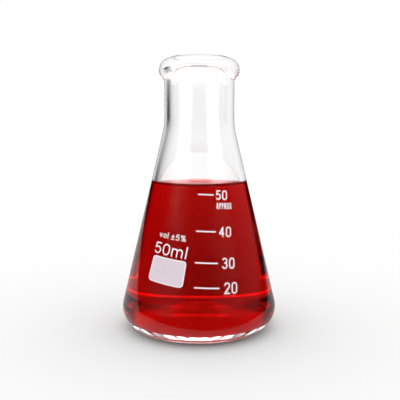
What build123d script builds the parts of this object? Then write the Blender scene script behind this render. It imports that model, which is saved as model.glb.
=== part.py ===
"""A 50 ml conical flask of borosilicate glass, with its filling and its printed scale.

Millimetres. The origin is the centre of the base, on the flask's axis, and +Z is up.
The printed scale faces -Y.
"""

from math import asin, atan2, cos, hypot, radians, sin, sqrt, tan
import os

from build123d import *

os.makedirs("parts", exist_ok=True)

# Vessel, outside
body_diameter = 51.0  # widest, at the heel
body_height = 66.5  # base to the corner where the cone meets the neck
neck_diameter = 22.8
neck_length = 14.9  # from that corner to the crease under the bead
heel_radius = 7.2
shoulder_radius = 25.0

# Beaded rim, an upright oval in section
bead_overhang = 1.65  # past the neck
bead_half_width = 4.0
bead_half_height = 3.8
mouth_edge_radius = 0.6
crease_radius = 0.35

# Vessel, inside
wall = 1.8
base_thickness = 2.4
inner_heel_radius = 5.4

# Hollow under the base, which leaves a ring to stand on
base_hollow_radius = 12.0
base_hollow_depth = 0.6

# Filling
liquid_level = 47.3  # the flat surface, above the table
meniscus_height = 1.2
meniscus_width = 2.3

# Enamel, printed and fired on the cone. Angles go round the flask from the front to the
# right, in degrees, and levels are heights above the table.
enamel_thickness = 0.05
line_width = 0.4
small_line_width = 0.25
line_right_angle = 15.4
figures_angle = 24.4
scale_tilt = -3.0  # the print runs slightly downhill to the right
figure_proportion = 0.56  # width to height of one figure
letter_gap = 0.15  # between letters, as a share of their height
mark_levels = {50: 45.4, 40: 34.5, 30: 25.3, 20: 18.1}
line_left_angles = {50: -1.2, 40: -2.7, 30: -3.3, 20: -3.7}
figure_heights = {50: 2.95, 40: 3.1, 30: 3.25, 20: 3.35}

# The small word under the top mark
word_level = 41.95
word_angle = 26.2
word_height = 1.9
word_width = 5.3

# Capacity, tolerance and writing field, left of the scale
block_tilt = -6.2
capacity_level = 28.75
capacity_angle = -25.4
capacity_height = 3.4
capacity_width = 11.3
tolerance_level = 32.85
tolerance_angle = -24.6
tolerance_height = 1.8
tolerance_width = 9.1
spot_level = 22.55
spot_angle = -26.6
spot_top_width = 11.45
spot_bottom_width = 12.35
spot_height = 7.7
spot_corner_radius = 1.1
spot_outline_width = 0.36

# Vessel outline, worked out from the sizes above
neck_radius = neck_diameter / 2
heel_centre = body_diameter / 2 - heel_radius
cone_run = heel_centre - neck_radius
cone_rise = body_height - heel_radius
cone_angle = atan2(cone_run, cone_rise) + asin(heel_radius / hypot(cone_run, cone_rise))
crease_level = body_height + neck_length
bead_centre = neck_radius + bead_overhang - bead_half_width
bead_level = crease_level + bead_half_height * sqrt(
    1 - ((neck_radius - bead_centre) / bead_half_width) ** 2
)
rim_level = bead_level + bead_half_height


def cone_radius(level):
    """Radius of the outside of the cone at a level."""
    return neck_radius + (body_height - level) * tan(cone_angle)


def inner_cone_radius(level):
    """Radius of the inside of the cone at a level."""
    return cone_radius(level) - wall / cos(cone_angle)


# Cavity, parallel to the outside: the vessel loses this shape and the liquid fills it
bore_radius = neck_radius - wall
inner_shoulder_level = body_height - wall * tan(cone_angle / 2)
cavity_top = rim_level + bead_half_height

with BuildPart() as cavity:
    with BuildSketch(Plane.XZ) as cavity_section:
        with BuildLine():
            Polyline(
                (0, base_thickness),
                (inner_cone_radius(base_thickness), base_thickness),
                (bore_radius, inner_shoulder_level),
                (bore_radius, cavity_top),
                (0, cavity_top),
                close=True,
            )
        make_face()
        fillet(cavity_section.vertices().sort_by(Axis.X)[-1], inner_heel_radius)
        inner_shoulder = (bore_radius, inner_shoulder_level)
        fillet(
            cavity_section.vertices().sort_by_distance(inner_shoulder)[0],
            shoulder_radius + wall,
        )
    revolve(axis=Axis.Z)

# Vessel, blown in one piece
with BuildPart() as flask_glass:
    with BuildSketch(Plane.XZ) as vessel_section:
        with BuildLine():
            Polyline(
                (0, 0),
                (cone_radius(0), 0),
                (neck_radius, body_height),
                (neck_radius, bead_level),
                (0, bead_level),
                close=True,
            )
        make_face()
        fillet(vessel_section.vertices().sort_by(Axis.X)[-1], heel_radius)
        outer_shoulder = (neck_radius, body_height)
        fillet(
            vessel_section.vertices().sort_by_distance(outer_shoulder)[0],
            shoulder_radius,
        )
        with Locations((bead_centre, bead_level)):
            Ellipse(bead_half_width, bead_half_height)
        add(cavity_section.sketch_local, mode=Mode.SUBTRACT)
        with BuildLine():
            hollow = ThreePointArc(
                (-base_hollow_radius, 0),
                (0, base_hollow_depth),
                (base_hollow_radius, 0),
            )
            Line(hollow @ 1, hollow @ 0)
        make_face(mode=Mode.SUBTRACT)
    revolve(axis=Axis.Z)
    rings = flask_glass.edges().filter_by(GeomType.CIRCLE)
    crease = rings.filter_by_position(
        Axis.Z, crease_level - crease_radius, crease_level + crease_radius
    )
    fillet(crease, crease_radius)
    fillet(flask_glass.edges().sort_by(Axis.Z)[-1], mouth_edge_radius)

# Filling, whose surface climbs the wall a little
meniscus_level = liquid_level + meniscus_height
contact_radius = inner_cone_radius(meniscus_level)
flat_radius = contact_radius - meniscus_width

with BuildPart() as red_liquid:
    with BuildSketch(Plane.XZ):
        with BuildLine():
            Polyline(
                (flat_radius, liquid_level),
                (0, liquid_level),
                (0, 0),
                (body_diameter, 0),
                (body_diameter, meniscus_level),
                (contact_radius, meniscus_level),
            )
            TangentArc(
                (flat_radius, liquid_level),
                (contact_radius, meniscus_level),
                tangent=(1, 0),
            )
        make_face()
    revolve(axis=Axis.Z)
    add(cavity.part, mode=Mode.INTERSECT)

# Layer of enamel round the whole cone, from which each print is cut
layer_top = max(mark_levels.values()) + max(figure_heights.values())
layer_step = enamel_thickness / cos(cone_angle)
heel_end = heel_radius * (1 + sin(cone_angle))

with BuildPart() as enamel_layer:
    with BuildSketch(Plane.XZ):
        with BuildLine():
            Polyline(
                (cone_radius(heel_end), heel_end),
                (cone_radius(heel_end) + layer_step, heel_end),
                (cone_radius(layer_top) + layer_step, layer_top),
                (cone_radius(layer_top), layer_top),
                close=True,
            )
        make_face()
    revolve(axis=Axis.Z)


# Letters, drawn as centre lines in a box of the given width and height
def draw_zero(width, height):
    radius = width / 2
    bottom = CenterArc((radius, radius), radius, 180, 180)
    top = CenterArc((radius, height - radius), radius, 0, 180)
    Line(bottom @ 1, top @ 0)
    Line(top @ 1, bottom @ 0)


def draw_two(width, height):
    bowl = height * 0.27
    arc = EllipticalCenterArc((width / 2, height - bowl), width / 2, bowl, 165, arc_size=-200)
    Polyline(arc @ 1, (0, 0), (width, 0))


def draw_three(width, height):
    top = height * 0.235
    bottom = height / 2 - top
    EllipticalCenterArc((width / 2, height - top), width * 0.45, top, 155, arc_size=-245)
    EllipticalCenterArc((width / 2, height - 2 * top - bottom), width / 2, bottom, 90, arc_size=-245)


def draw_four(width, height):
    Line((width * 0.74, 0), (width * 0.74, height))
    Polyline((width * 0.74, height), (0, height * 0.31), (width, height * 0.31))


def draw_five(width, height):
    bowl = height * 0.32
    arc = EllipticalCenterArc((width / 2, bowl), width / 2, bowl, 140, arc_size=-285)
    Polyline((width * 0.93, height), (width * 0.2, height), arc @ 0)


def draw_m(width, height):
    arch = width / 4
    Line((0, 0), (0, height))
    for left in (0, width / 2):
        arc = CenterArc((left + arch, height - arch), arch, 180, -180)
        Line(arc @ 1, (left + width / 2, 0))


def draw_l(width, height):
    Line((width / 2, 0), (width / 2, height))


def draw_v(width, height):
    Polyline((0, height), (width / 2, 0), (width, height))


def draw_plus_minus(width, height):
    Line((0, height * 0.55), (width, height * 0.55))
    Line((width / 2, height * 0.25), (width / 2, height * 0.85))
    Line((0, 0), (width, 0))


def draw_percent(width, height):
    ring = width * 0.2
    CenterArc((ring, height - ring), ring, 0, 360)
    CenterArc((width - ring, ring), ring, 0, 360)
    Line((width * 0.22, 0), (width * 0.78, height))


def draw_a(width, height):
    Polyline((0, 0), (width / 2, height), (width, 0))
    Line((width * 0.18, height * 0.34), (width * 0.82, height * 0.34))


def draw_p(width, height):
    bowl = height * 0.26
    arc = CenterArc((width - bowl, height - bowl), bowl, 90, -180)
    Polyline((0, 0), (0, height), arc @ 0)
    Line(arc @ 1, (0, height - 2 * bowl))


def draw_r(width, height):
    draw_p(width, height)
    Line((width * 0.45, height * 0.48), (width, 0))


def draw_x(width, height):
    Line((0, 0), (width, height))
    Line((0, height), (width, 0))


# Letter: width and height as shares of the text height, and how to draw it
letters = {
    "0": (figure_proportion, 1, draw_zero),
    "2": (figure_proportion, 1, draw_two),
    "3": (figure_proportion, 1, draw_three),
    "4": (figure_proportion, 1, draw_four),
    "5": (figure_proportion, 1, draw_five),
    "m": (0.82, 0.76, draw_m),
    "l": (0.15, 1.05, draw_l),
    "v": (0.5, 0.72, draw_v),
    "o": (0.5, 0.72, draw_zero),
    "±": (0.5, 0.95, draw_plus_minus),
    "%": (0.75, 1, draw_percent),
    "A": (0.6, 1, draw_a),
    "P": (0.52, 1, draw_p),
    "R": (0.52, 1, draw_r),
    "O": (0.62, 1, draw_zero),
    "X": (0.6, 1, draw_x),
    " ": (0.12, 1, None),
}


def draw_letter(character, width, height, weight):
    """One letter as a sketch of round-ended strokes that stay inside the box."""
    with BuildSketch(mode=Mode.PRIVATE) as letter:
        with BuildLine(mode=Mode.PRIVATE) as strokes:
            letters[character][2](width - weight, height - weight)
        for stroke in strokes.edges():
            trace(stroke, line_width=weight)
            with Locations(stroke @ 0, stroke @ 1):
                Circle(weight / 2)
    return letter.sketch.moved(Location((weight / 2, weight / 2)))


def write(text, height, weight, width=None, centre=(0, 0)):
    """Text round its centre, spread to a width if one is given."""
    gap = letter_gap * height
    natural = sum(letters[c][0] * height for c in text) + gap * (len(text) - 1)
    spread = width / natural if width else 1
    left = centre[0] - natural * spread / 2
    for character in text:
        share_wide, share_high, stroke = letters[character]
        letter_width = share_wide * height * spread
        if stroke:
            letter = draw_letter(character, letter_width, share_high * height, weight)
            with Locations((left, centre[1] - height / 2)):
                add(letter)
        left += letter_width + gap * spread


def print_plane(angle, level, tilt):
    """Upright plane through the axis that looks out at an angle round the flask."""
    turn = radians(angle)
    slope = radians(tilt)
    outward = (sin(turn), -cos(turn), 0)
    rightward = (cos(turn) * cos(slope), sin(turn) * cos(slope), sin(slope))
    return Plane((0, 0, level), x_dir=rightward, z_dir=outward)


# Graduations: each a line and its number, and the small word under the top one
graduations = {}
for number, level in mark_levels.items():
    radius = cone_radius(level)
    scale_angle = (line_left_angles[number] + figures_angle) / 2
    line_left = radius * sin(radians(line_left_angles[number] - scale_angle))
    line_right = radius * sin(radians(line_right_angle - scale_angle))
    figures_centre = radius * sin(radians(figures_angle - scale_angle))
    with BuildPart() as graduation:
        with BuildSketch(print_plane(scale_angle, level, scale_tilt)):
            with Locations(((line_left + line_right) / 2, 0)):
                Rectangle(line_right - line_left, line_width)
            write(str(number), figure_heights[number], line_width, centre=(figures_centre, 0))
        extrude(amount=body_diameter)
        if number == max(mark_levels):
            with BuildSketch(print_plane(word_angle, word_level, scale_tilt)):
                write("APPROX", word_height, small_line_width, word_width)
            extrude(amount=body_diameter)
        add(enamel_layer.part, mode=Mode.INTERSECT)
    graduations[f"graduation_{number}"] = graduation

# Capacity and tolerance
with BuildPart() as capacity_mark:
    with BuildSketch(print_plane(capacity_angle, capacity_level, block_tilt)):
        write("50ml", capacity_height, line_width, capacity_width)
    extrude(amount=body_diameter)
    add(enamel_layer.part, mode=Mode.INTERSECT)

with BuildPart() as tolerance_mark:
    with BuildSketch(print_plane(tolerance_angle, tolerance_level, block_tilt)):
        write("vol ±5%", tolerance_height, small_line_width, tolerance_width)
    extrude(amount=body_diameter)
    add(enamel_layer.part, mode=Mode.INTERSECT)

# Writing field and its brighter border
with BuildSketch(print_plane(spot_angle, spot_level, block_tilt)) as spot_shape:
    with BuildLine():
        Polyline(
            (-spot_bottom_width / 2, -spot_height / 2),
            (spot_bottom_width / 2, -spot_height / 2),
            (spot_top_width / 2, spot_height / 2),
            (-spot_top_width / 2, spot_height / 2),
            close=True,
        )
    make_face()
    fillet(spot_shape.vertices(), spot_corner_radius)

with BuildPart() as marking_spot:
    with BuildSketch(print_plane(spot_angle, spot_level, block_tilt)):
        offset(spot_shape.sketch_local, amount=-spot_outline_width)
    extrude(amount=body_diameter)
    add(enamel_layer.part, mode=Mode.INTERSECT)

with BuildPart() as marking_spot_outline:
    with BuildSketch(print_plane(spot_angle, spot_level, block_tilt)):
        add(spot_shape.sketch_local)
        offset(spot_shape.sketch_local, amount=-spot_outline_width, mode=Mode.SUBTRACT)
    extrude(amount=body_diameter)
    add(enamel_layer.part, mode=Mode.INTERSECT)

pieces = {
    "flask_glass": flask_glass,
    "red_liquid": red_liquid,
    **graduations,
    "capacity_mark": capacity_mark,
    "tolerance_mark": tolerance_mark,
    "marking_spot": marking_spot,
    "marking_spot_outline": marking_spot_outline,
}
for name, piece in pieces.items():
    piece.part.label = name
    export_step(piece.part, f"parts/{name}.step")
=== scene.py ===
from math import asin, atan2, cos, hypot, pi, radians, sin, sqrt, tan

import bmesh
import bpy
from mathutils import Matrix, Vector


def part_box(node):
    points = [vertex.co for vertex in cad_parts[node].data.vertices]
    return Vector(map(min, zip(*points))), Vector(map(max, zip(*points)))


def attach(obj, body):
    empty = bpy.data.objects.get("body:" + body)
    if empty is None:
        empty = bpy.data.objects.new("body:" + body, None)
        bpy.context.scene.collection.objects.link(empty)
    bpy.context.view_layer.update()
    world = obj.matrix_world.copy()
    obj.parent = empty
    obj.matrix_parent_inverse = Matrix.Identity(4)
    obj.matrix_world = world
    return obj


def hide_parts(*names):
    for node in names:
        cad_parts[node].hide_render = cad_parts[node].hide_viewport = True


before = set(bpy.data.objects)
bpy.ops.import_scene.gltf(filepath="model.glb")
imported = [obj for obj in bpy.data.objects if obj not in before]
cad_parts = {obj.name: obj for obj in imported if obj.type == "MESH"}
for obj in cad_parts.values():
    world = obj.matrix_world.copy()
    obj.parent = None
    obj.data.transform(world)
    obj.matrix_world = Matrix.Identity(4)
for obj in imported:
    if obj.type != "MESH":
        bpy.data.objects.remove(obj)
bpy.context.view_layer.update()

mm = 0.001

# Vessel, outside: its width comes from the frame
glass_low, glass_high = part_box("flask_glass")
body_radius = (glass_high.x - glass_low.x) / 2
body_height = 66.5 * mm
neck_radius = 11.4 * mm
crease_level = 81.4 * mm
heel_radius = 7.2 * mm
shoulder_radius = 25.0 * mm
crease_radius = 0.35 * mm
base_hollow_radius = 12.0 * mm
base_hollow_depth = 0.6 * mm

# Bead round the mouth: part of an ellipse
bead_half_width = 4.0 * mm
bead_half_height = 3.8 * mm
bead_overhang = 1.65 * mm
bead_start = -radians(48)
bead_end = radians(74)
bead_steps = 60

# Vessel, inside
wall = 1.8 * mm
base_thickness = 2.4 * mm
inner_heel_radius = 5.4 * mm
mouth_edge_radius = 0.6 * mm
bore_level = 80.0 * mm  # a level in the straight bore, where the mouth's outline ends

# Filling
liquid_level = 47.3 * mm
meniscus_height = 1.2 * mm
meniscus_width = 2.3 * mm
film = 0.02 * mm  # between the filling's mesh and the wall it wets
wetted_tilt = radians(60)  # faces of the filling that point further than this from up lie on the wall

# How finely the round pieces are turned
turns = 256
arc_step = radians(2)
line_step = 2.5 * mm
merge_distance = 0.001 * mm
sharp_angle = radians(5)

# Glass and water
glass_ior = 1.473
water_ior = 1.333
dye_colour = (0.97, 0.0, 0.0, 1)
dye_density = 1170.0
waves_to_the_metre = 160.0
wave_stretch = 0.08  # how much slower the waves change upwards than round the wall
wave_height = 0.1 * mm
wave_strength = 0.06

# Enamel
white_colour = (0.93, 0.93, 0.93, 1)
white_shade = (0.86, 0.86, 0.87, 1)
white_roughness = 0.4
pale_colour = (0.78, 0.67, 0.74, 1)
pale_shade = (0.74, 0.63, 0.70, 1)
pale_roughness = 0.6
uneven_gloss = 0.1
clouds_to_the_metre = 900.0
grains_to_the_metre = 5000.0
grain_height = 0.02 * mm
grain_strength = 0.2


def arc(centre, radius, start, end):
    """Points along an arc between two angles, both ends in."""
    count = max(3, round(abs(end - start) / arc_step))
    angles = [start + (end - start) * i / count for i in range(count + 1)]
    return [(centre[0] + radius * cos(a), centre[1] + radius * sin(a)) for a in angles]


def rounded(corners):
    """A path through corners (radius, height, rounding), with each rounding as an arc."""
    path = []
    for i, (x, z, rounding) in enumerate(corners):
        here = Vector((x, z))
        if not rounding:
            path.append(tuple(here))
            continue
        back = (Vector(corners[i - 1][:2]) - here).normalized()
        ahead = (Vector(corners[i + 1][:2]) - here).normalized()
        half = back.angle(ahead) / 2
        centre = here + (back + ahead).normalized() * rounding / sin(half)
        first = here + back * rounding / tan(half) - centre
        last = here + ahead * rounding / tan(half) - centre
        start = atan2(first.y, first.x)
        sweep = first.angle_signed(last)
        path += arc(centre, rounding, start, start - sweep)
    return path


def split_runs(path):
    """The same path with its long straight runs cut into short ones."""
    fine = [path[0]]
    for (x0, z0), (x1, z1) in zip(path, path[1:]):
        count = max(1, round(hypot(x1 - x0, z1 - z0) / line_step))
        fine += [(x0 + (x1 - x0) * i / count, z0 + (z1 - z0) * i / count) for i in range(1, count + 1)]
    return fine


# Cone: the slope that the heel and the neck give it, and its radius at a level
heel_centre = body_radius - heel_radius
cone_run = heel_centre - neck_radius
cone_rise = body_height - heel_radius
cone_angle = atan2(cone_run, cone_rise) + asin(heel_radius / hypot(cone_run, cone_rise))


def cone_radius(level):
    return neck_radius + (body_height - level) * tan(cone_angle)


def inner_cone_radius(level):
    return cone_radius(level) - wall / cos(cone_angle)


def turn_piece(name, path, materials, slot_of_face):
    """A closed piece turned from a half section that starts and ends on the axis."""
    bm = bmesh.new()
    points = [bm.verts.new((x, 0, z)) for x, z in path]
    edges = [bm.edges.new(pair) for pair in zip(points, points[1:])]
    bmesh.ops.spin(
        bm,
        geom=points + edges,
        axis=(0, 0, 1),
        cent=(0, 0, 0),
        dvec=(0, 0, 0),
        angle=2 * pi,
        steps=turns,
        use_merge=True,
        use_duplicate=False,
    )
    bmesh.ops.remove_doubles(bm, verts=bm.verts, dist=merge_distance)
    bmesh.ops.recalc_face_normals(bm, faces=bm.faces)
    if bm.calc_volume(signed=True) < 0:
        bmesh.ops.reverse_faces(bm, faces=bm.faces)
    for face in bm.faces:
        face.smooth = True
        face.material_index = slot_of_face(face)
    mesh = bpy.data.meshes.new(name)
    bm.to_mesh(mesh)
    bm.free()
    for material in materials:
        mesh.materials.append(material)
    mesh.set_sharp_from_angle(angle=sharp_angle)
    piece = bpy.data.objects.new(name, mesh)
    bpy.context.scene.collection.objects.link(piece)
    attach(piece, "root")
    return piece


class Wire:
    """A shader socket that takes part in sums: each sum adds its Math node."""

    def __init__(self, tree, socket=None):
        self.tree = tree
        self.socket = socket

    def node(self, kind, settings=None, inputs=None, output=0):
        node = self.tree.nodes.new(kind)
        for name, value in (settings or {}).items():
            if name == "stops":
                ramp = node.color_ramp.elements
                while len(ramp) < len(value):
                    ramp.new(0.5)
                for stop, (place, level) in zip(ramp, value):
                    stop.position = place
                    stop.color = (level, level, level, 1)
            else:
                setattr(node, name, value)
        for name, value in (inputs or {}).items():
            if isinstance(value, Wire):
                self.tree.links.new(value.socket, node.inputs[name])
            else:
                node.inputs[name].default_value = value
        return Wire(self.tree, node.outputs[output] if node.outputs else None)

    def maths(self, operation, first, second=0.0):
        return self.node("ShaderNodeMath", {"operation": operation}, {0: first, 1: second})

    def __add__(self, other):
        return self.maths("ADD", self, other)

    def __sub__(self, other):
        return self.maths("SUBTRACT", self, other)

    def __rsub__(self, other):
        return self.maths("SUBTRACT", other, self)

    def __mul__(self, other):
        return self.maths("MULTIPLY", self, other)

    __radd__ = __add__
    __rmul__ = __mul__

    def axis(self, name):
        """One number, X, Y or Z, of a place or a direction."""
        return self.node("ShaderNodeSeparateXYZ", None, {"Vector": self}, output=name)

    def rise(self, low, high):
        """0 below low and 1 above high, smooth between."""
        inputs = {"Value": self, "From Min": low, "From Max": high}
        return self.node("ShaderNodeMapRange", {"interpolation_type": "SMOOTHSTEP"}, inputs)

    def band(self, low, high, soft):
        """1 between low and high and 0 outside, smooth at both ends."""
        return self.rise(low - soft, low + soft) * (1 - self.rise(high - soft, high + soft))


def new_material(name):
    """An empty material and the start of its node tree."""
    material = bpy.data.materials.new(name)
    material.use_nodes = True
    material.node_tree.nodes.clear()
    return material, Wire(material.node_tree)


def clear_surface(tree, ior, **more):
    """A surface to see through, which bends light by its index."""
    clear = {"Base Color": (1, 1, 1, 1), "Roughness": 0.0, "Transmission Weight": 1.0}
    return tree.node("ShaderNodeBsdfPrincipled", None, {**clear, "IOR": ior, **more})


def glass_material(name, ior):
    """Borosilicate glass, with faint upright waves left in the wall by drawing and blowing."""
    material, tree = new_material(name)
    place = tree.node("ShaderNodeTexCoord", output="Object")
    upright = tree.node("ShaderNodeMapping", None, {"Vector": place, "Scale": (1, 1, wave_stretch)})
    noise = {"Vector": upright, "Scale": waves_to_the_metre, "Detail": 1.0}
    waves = tree.node("ShaderNodeTexNoise", None, noise)
    relief = {"Strength": wave_strength, "Distance": wave_height, "Height": waves}
    bump = tree.node("ShaderNodeBump", None, relief)
    tree.node("ShaderNodeOutputMaterial", None, {"Surface": clear_surface(tree, ior, Normal=bump)})
    return material


def filling_material():
    """Dyed water: it bends light at its open surface, and lets it straight out to the wall it wets."""
    material, tree = new_material("red filling")
    against_wall = tree.node("ShaderNodeAttribute", {"attribute_name": "against_wall"}, output="Fac")
    sides = {0: against_wall, 1: clear_surface(tree, water_ior), 2: clear_surface(tree, 1.0)}
    surface = tree.node("ShaderNodeMixShader", None, sides)
    dye = tree.node("ShaderNodeVolumeAbsorption", None, {"Color": dye_colour, "Density": dye_density})
    tree.node("ShaderNodeOutputMaterial", None, {"Surface": surface, "Volume": dye})
    return material


def enamel_material(name, colour, shade, roughness):
    """Fired enamel: a little uneven in colour and grain."""
    material, tree = new_material(name)
    place = tree.node("ShaderNodeTexCoord", output="Object")
    clouds = {"Vector": place, "Scale": clouds_to_the_metre, "Detail": 2.0}
    cloud = tree.node("ShaderNodeTexNoise", None, clouds)
    grains = {"Vector": place, "Scale": grains_to_the_metre, "Detail": 1.0}
    grain = tree.node("ShaderNodeTexNoise", None, grains)
    colours = {"Factor": cloud, "A": colour, "B": shade}
    mixed = tree.node("ShaderNodeMix", {"data_type": "RGBA"}, colours, output="Result")
    relief = {"Strength": grain_strength, "Distance": grain_height, "Height": grain}
    bump = tree.node("ShaderNodeBump", None, relief)
    finish = {"Base Color": mixed, "Roughness": roughness + uneven_gloss * cloud, "Normal": bump}
    surface = tree.node("ShaderNodeBsdfPrincipled", None, finish)
    tree.node("ShaderNodeOutputMaterial", None, {"Surface": surface})
    return material


dry_glass = glass_material("clear borosilicate glass", glass_ior)
wet_glass = glass_material("glass wetted by the filling", glass_ior / water_ior)
red_filling = filling_material()
white_enamel = enamel_material("fired white enamel", white_colour, white_shade, white_roughness)
pale_enamel = enamel_material("thin matt enamel", pale_colour, pale_shade, pale_roughness)

# Vessel: one outline from the middle of the base, up the outside, over the bead and down the inside
bore_radius = neck_radius - wall
bead_centre = neck_radius + bead_overhang - bead_half_width


def bead_rise(radius):
    """How far the bead's ellipse stands above its middle at a radius."""
    return bead_half_height * sqrt(1 - ((radius - bead_centre) / bead_half_width) ** 2)


bead_level = crease_level + bead_rise(neck_radius)


def bead_point(angle):
    return bead_centre + bead_half_width * cos(angle), bead_level + bead_half_height * sin(angle)


bead = [bead_point(bead_start + (bead_end - bead_start) * i / bead_steps) for i in range(bead_steps + 1)]
mouth_top = bead_level + bead_rise(bore_radius)
inner_shoulder_level = body_height - wall * tan(cone_angle / 2)
meniscus_level = liquid_level + meniscus_height
contact_radius = inner_cone_radius(meniscus_level)

hollow_radius = (base_hollow_radius**2 + base_hollow_depth**2) / (2 * base_hollow_depth)
hollow_half = asin(base_hollow_radius / hollow_radius)
hollow = arc((0, base_hollow_depth - hollow_radius), hollow_radius, pi / 2, pi / 2 - hollow_half)
outside = rounded(
    [
        (base_hollow_radius, 0, 0),
        (cone_radius(0), 0, heel_radius),
        (neck_radius, body_height, shoulder_radius),
        (neck_radius, crease_level, crease_radius),
        (*bead[0], 0),
    ]
)
mouth = rounded([(*bead[-1], 0), (bore_radius, mouth_top, mouth_edge_radius), (bore_radius, bore_level, 0)])
inside = rounded(
    [
        (bore_radius, bore_level, 0),
        (bore_radius, inner_shoulder_level, shoulder_radius + wall),
        (contact_radius, meniscus_level, 0),
        (inner_cone_radius(base_thickness), base_thickness, inner_heel_radius),
        (0, base_thickness, 0),
    ]
)
glass_section = split_runs(hollow[:-1] + outside[:-1] + bead[:-1] + mouth[:-1] + inside)


def is_wetted(face):
    """Whether the filling touches a face of the vessel."""
    middle = face.calc_center_median()
    return int(
        base_thickness - film < middle.z < meniscus_level
        and hypot(middle.x, middle.y) < inner_cone_radius(middle.z) + film
    )


flask_glass = turn_piece("flask_glass_turned", glass_section, [dry_glass, wet_glass], is_wetted)
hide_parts("flask_glass")

# Filling: up the wall to the contact line, and back to the axis over the meniscus
flat_radius = contact_radius - film - meniscus_width
meniscus_radius = (meniscus_width**2 + meniscus_height**2) / (2 * meniscus_height)
meniscus_sweep = asin(meniscus_width / meniscus_radius)
meniscus = arc(
    (flat_radius, liquid_level + meniscus_radius), meniscus_radius, -pi / 2 + meniscus_sweep, -pi / 2
)
wall_side = rounded(
    [
        (0, base_thickness + film, 0),
        (inner_cone_radius(base_thickness) - film, base_thickness + film, inner_heel_radius),
        (contact_radius - film, meniscus_level, 0),
    ]
)
filling_section = split_runs(wall_side[:-1] + meniscus + [(0, liquid_level)])

red_liquid = turn_piece("red_liquid_turned", filling_section, [red_filling], lambda face: 0)
against_wall = red_liquid.data.attributes.new("against_wall", "FLOAT", "FACE")
for face, mark in zip(red_liquid.data.polygons, against_wall.data):
    mark.value = float(face.normal.z < cos(wetted_tilt))
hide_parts("red_liquid")

# Print: it keeps its solids, and takes the enamels
for name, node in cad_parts.items():
    if name in ("flask_glass", "red_liquid"):
        continue
    node.data.materials.clear()
    node.data.materials.append(pale_enamel if name == "marking_spot" else white_enamel)

# The flask's shadow: a dull surface loses this share of the light that comes to it through glass
shadow_depth = 0.8


def rays_of(tree):
    """Whether a ray last came through glass or off a mirror, and the share of the light that it keeps."""
    through = tree.node("ShaderNodeLightPath", output="Is Transmission Ray")
    glossy = tree.node("ShaderNodeLightPath", output="Is Glossy Ray")
    scattered = tree.node("ShaderNodeLightPath", output="Diffuse Depth")
    kept = 1 - shadow_depth * scattered.maths("MINIMUM", scattered, 1.0)
    return through, glossy * (1 - through), kept


# Table
table_size = 6.0
air_gap = 0.02 * mm  # under the foot, so that its glass still meets air

# Table through glass: evenly lit, with a painted pool of light in a strip behind the flask, where the foot
# would gather light
table_light = 1.05
glow_light = 2.8
glow_near = 31.5 * mm
glow_far = 35 * mm
glow_half_width = 16 * mm
glow_soft = 0.6 * mm
glow_end_soft = 4 * mm

# Table in a mirror: it ends at its front edge and fades away to the right, with a dark room beyond
front_edge = -35 * mm
front_slope = 0.2
front_soft = 2 * mm
left_light = 0.6
light_step = 0.15
step_half_width = 10 * mm
fade_start = 90 * mm
fade_end = 170 * mm


def table_material():
    material, tree = new_material("white table")
    through, mirrored, kept = rays_of(tree)
    place = tree.node("ShaderNodeTexCoord", output="Object")
    across = place.axis("X")
    depth = place.axis("Y")
    # Painted pool of light: a brighter strip on the table behind the flask, seen only through glass
    glow = depth.band(glow_near, glow_far, glow_soft)
    glow = glow * across.band(-glow_half_width, glow_half_width, glow_end_soft)
    clear_light = (table_light + glow_light * glow) * kept
    behind_edge = (depth - front_slope * across).rise(front_edge, front_edge + front_soft)
    level = left_light - light_step * across.rise(-step_half_width, step_half_width)
    mirror_light = level * behind_edge * (1 - across.rise(fade_start, fade_end))
    strength = through * clear_light + mirrored * mirror_light
    white = tree.node("ShaderNodeBsdfDiffuse", None, {"Color": (1, 1, 1, 1)})
    lit = tree.node("ShaderNodeEmission", None, {"Color": (1, 1, 1, 1), "Strength": strength})
    surface = tree.node("ShaderNodeMixShader", None, {0: through + mirrored, 1: white, 2: lit})
    tree.node("ShaderNodeOutputMaterial", None, {"Surface": surface})
    return material


bm = bmesh.new()
bmesh.ops.create_grid(bm, x_segments=1, y_segments=1, size=table_size / 2)
bmesh.ops.translate(bm, verts=bm.verts, vec=(0, 0, -air_gap))
table_mesh = bpy.data.meshes.new("table")
bm.to_mesh(table_mesh)
bm.free()
table_mesh.materials.append(table_material())
table = bpy.data.objects.new("table", table_mesh)
bpy.context.scene.collection.objects.link(table)

# Studio. Bearings are in degrees to the right of straight behind the flask, and heights are the sine of
# the angle above the horizon
full_turn = 360

# Studio through glass: a white backdrop that darkens to the left, more light overhead, and lamps beside
# and above the camera. Each stop of the backdrop is a bearing and its brightness
low_backdrop = [
    (-105, 1.0),
    (-75, 0.7),
    (-58, 0.5),
    (-47, 0.04),
    (-33, 0.04),
    (-27, 0.5),
    (-10, 0.92),
    (10, 0.92),
    (30, 1.0),
]
high_backdrop = [
    (-105, 1.0),
    (-75, 0.8),
    (-60, 0.5),
    (-40, 0.4),
    (-25, 0.75),
    (-8, 0.93),
    (10, 0.93),
    (30, 1.0),
]
backdrop_change = (0.04, 0.14)
overhead_light = 0.8
overhead_heights = (0.2, 0.4)
lamp_light = 5.0
lamp_soft = 8
beside_bearings = (105, 150)
beside_heights = (0.05, 0.6)
beside_soft = 0.06
above_bearing = 145
above_heights = (0.62, 0.8)
above_soft = 0.03

# Studio in a mirror: dark, with a card on the right, a slit of light on the left and a dim ceiling
card_light = 0.12
card_bearings = (50, 105)
card_heights = (0.0, 0.4)
card_bearing_soft = 6
card_height_soft = 0.05
slit_light = 2.0
slit_bearings = (-129, -127)
slit_soft = 0.6
slit_heights = (0.25, 0.3)
ceiling_light = 0.25
ceiling_heights = (0.6, 0.9)


def backdrop(bearing, stops):
    """Brightness round the horizon, from its stops."""
    places = [(0.5 + degrees_right / full_turn, level) for degrees_right, level in stops]
    return bearing.node("ShaderNodeValToRGB", {"stops": places}, {"Fac": bearing * (1 / full_turn) + 0.5})


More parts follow.
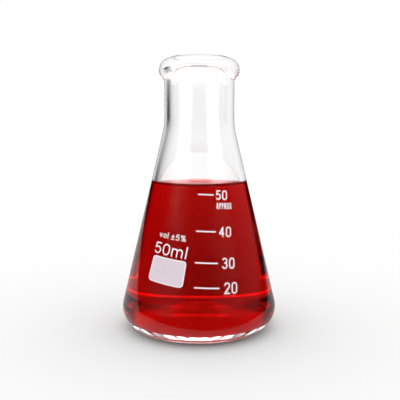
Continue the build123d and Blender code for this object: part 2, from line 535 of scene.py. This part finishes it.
def light_through_glass(bearing, up):
    lift = up.rise(*backdrop_change)
    wall_light = backdrop(bearing, low_backdrop) * (1 - lift) + backdrop(bearing, high_backdrop) * lift
    near, far = beside_bearings
    left_and_right = bearing.band(-far, -near, lamp_soft) + bearing.band(near, far, lamp_soft)
    beside = left_and_right * up.band(*beside_heights, beside_soft)
    above_camera = 1 - bearing.band(-above_bearing, above_bearing, lamp_soft)
    above_camera = above_camera * up.band(*above_heights, above_soft)
    overhead = overhead_light * up.rise(*overhead_heights)
    return wall_light + overhead + lamp_light * (beside + above_camera)


def light_in_mirror(bearing, up):
    card = bearing.band(*card_bearings, card_bearing_soft) * up.band(*card_heights, card_height_soft)
    slit = bearing.band(*slit_bearings, slit_soft) * up.rise(*slit_heights)
    ceiling = up.rise(*ceiling_heights)
    return card_light * card + slit_light * slit + ceiling_light * ceiling


def studio_world():
    """White to the eye and to dull surfaces, with a look of its own through glass and in a mirror."""
    world = bpy.data.worlds.new("studio")
    world.use_nodes = True
    world.node_tree.nodes.clear()
    tree = Wire(world.node_tree)
    through, mirrored, kept = rays_of(tree)
    direction = tree.node("ShaderNodeTexCoord", output="Generated")
    to_right = direction.axis("X")
    to_back = direction.axis("Y")
    up = direction.axis("Z")
    bearing = to_right.maths("ARCTAN2", to_right, to_back) * (180 / pi)
    seen_through = light_through_glass(bearing, up) * kept
    reflected = light_in_mirror(bearing, up)
    strength = 1 + through * (seen_through - 1) + mirrored * (reflected - 1)
    background = tree.node("ShaderNodeBackground", None, {"Color": (1, 1, 1, 1), "Strength": strength})
    tree.node("ShaderNodeOutputWorld", None, {"Surface": background})
    return world


bpy.context.scene.world = studio_world()

# Camera: in front of the flask and a little above its middle, looking slightly down
camera_distance = 188.65 * mm
camera_height = 61.61 * mm
camera_down = radians(5.886)
camera_right = radians(0.091)
camera_roll = radians(0.1)

camera_data = bpy.data.cameras.new("camera")
camera_data.sensor_width = 36.0
camera_data.lens = 51.38
camera_data.clip_start = 10 * mm
camera = bpy.data.objects.new("camera", camera_data)
camera.location = (0, -camera_distance, camera_height)
camera.rotation_euler = (pi / 2 - camera_down, 0, -camera_right)
camera.rotation_euler.rotate_axis("Z", camera_roll)
bpy.context.scene.collection.objects.link(camera)
bpy.context.scene.camera = camera

# Light runs along inside the wall for many bounces before it comes out
light_bounces = 64
bpy.context.scene.cycles.max_bounces = light_bounces
bpy.context.scene.cycles.transmission_bounces = light_bounces
bpy.context.scene.cycles.glossy_bounces = light_bounces
bpy.context.scene.view_settings.view_transform = "Standard"
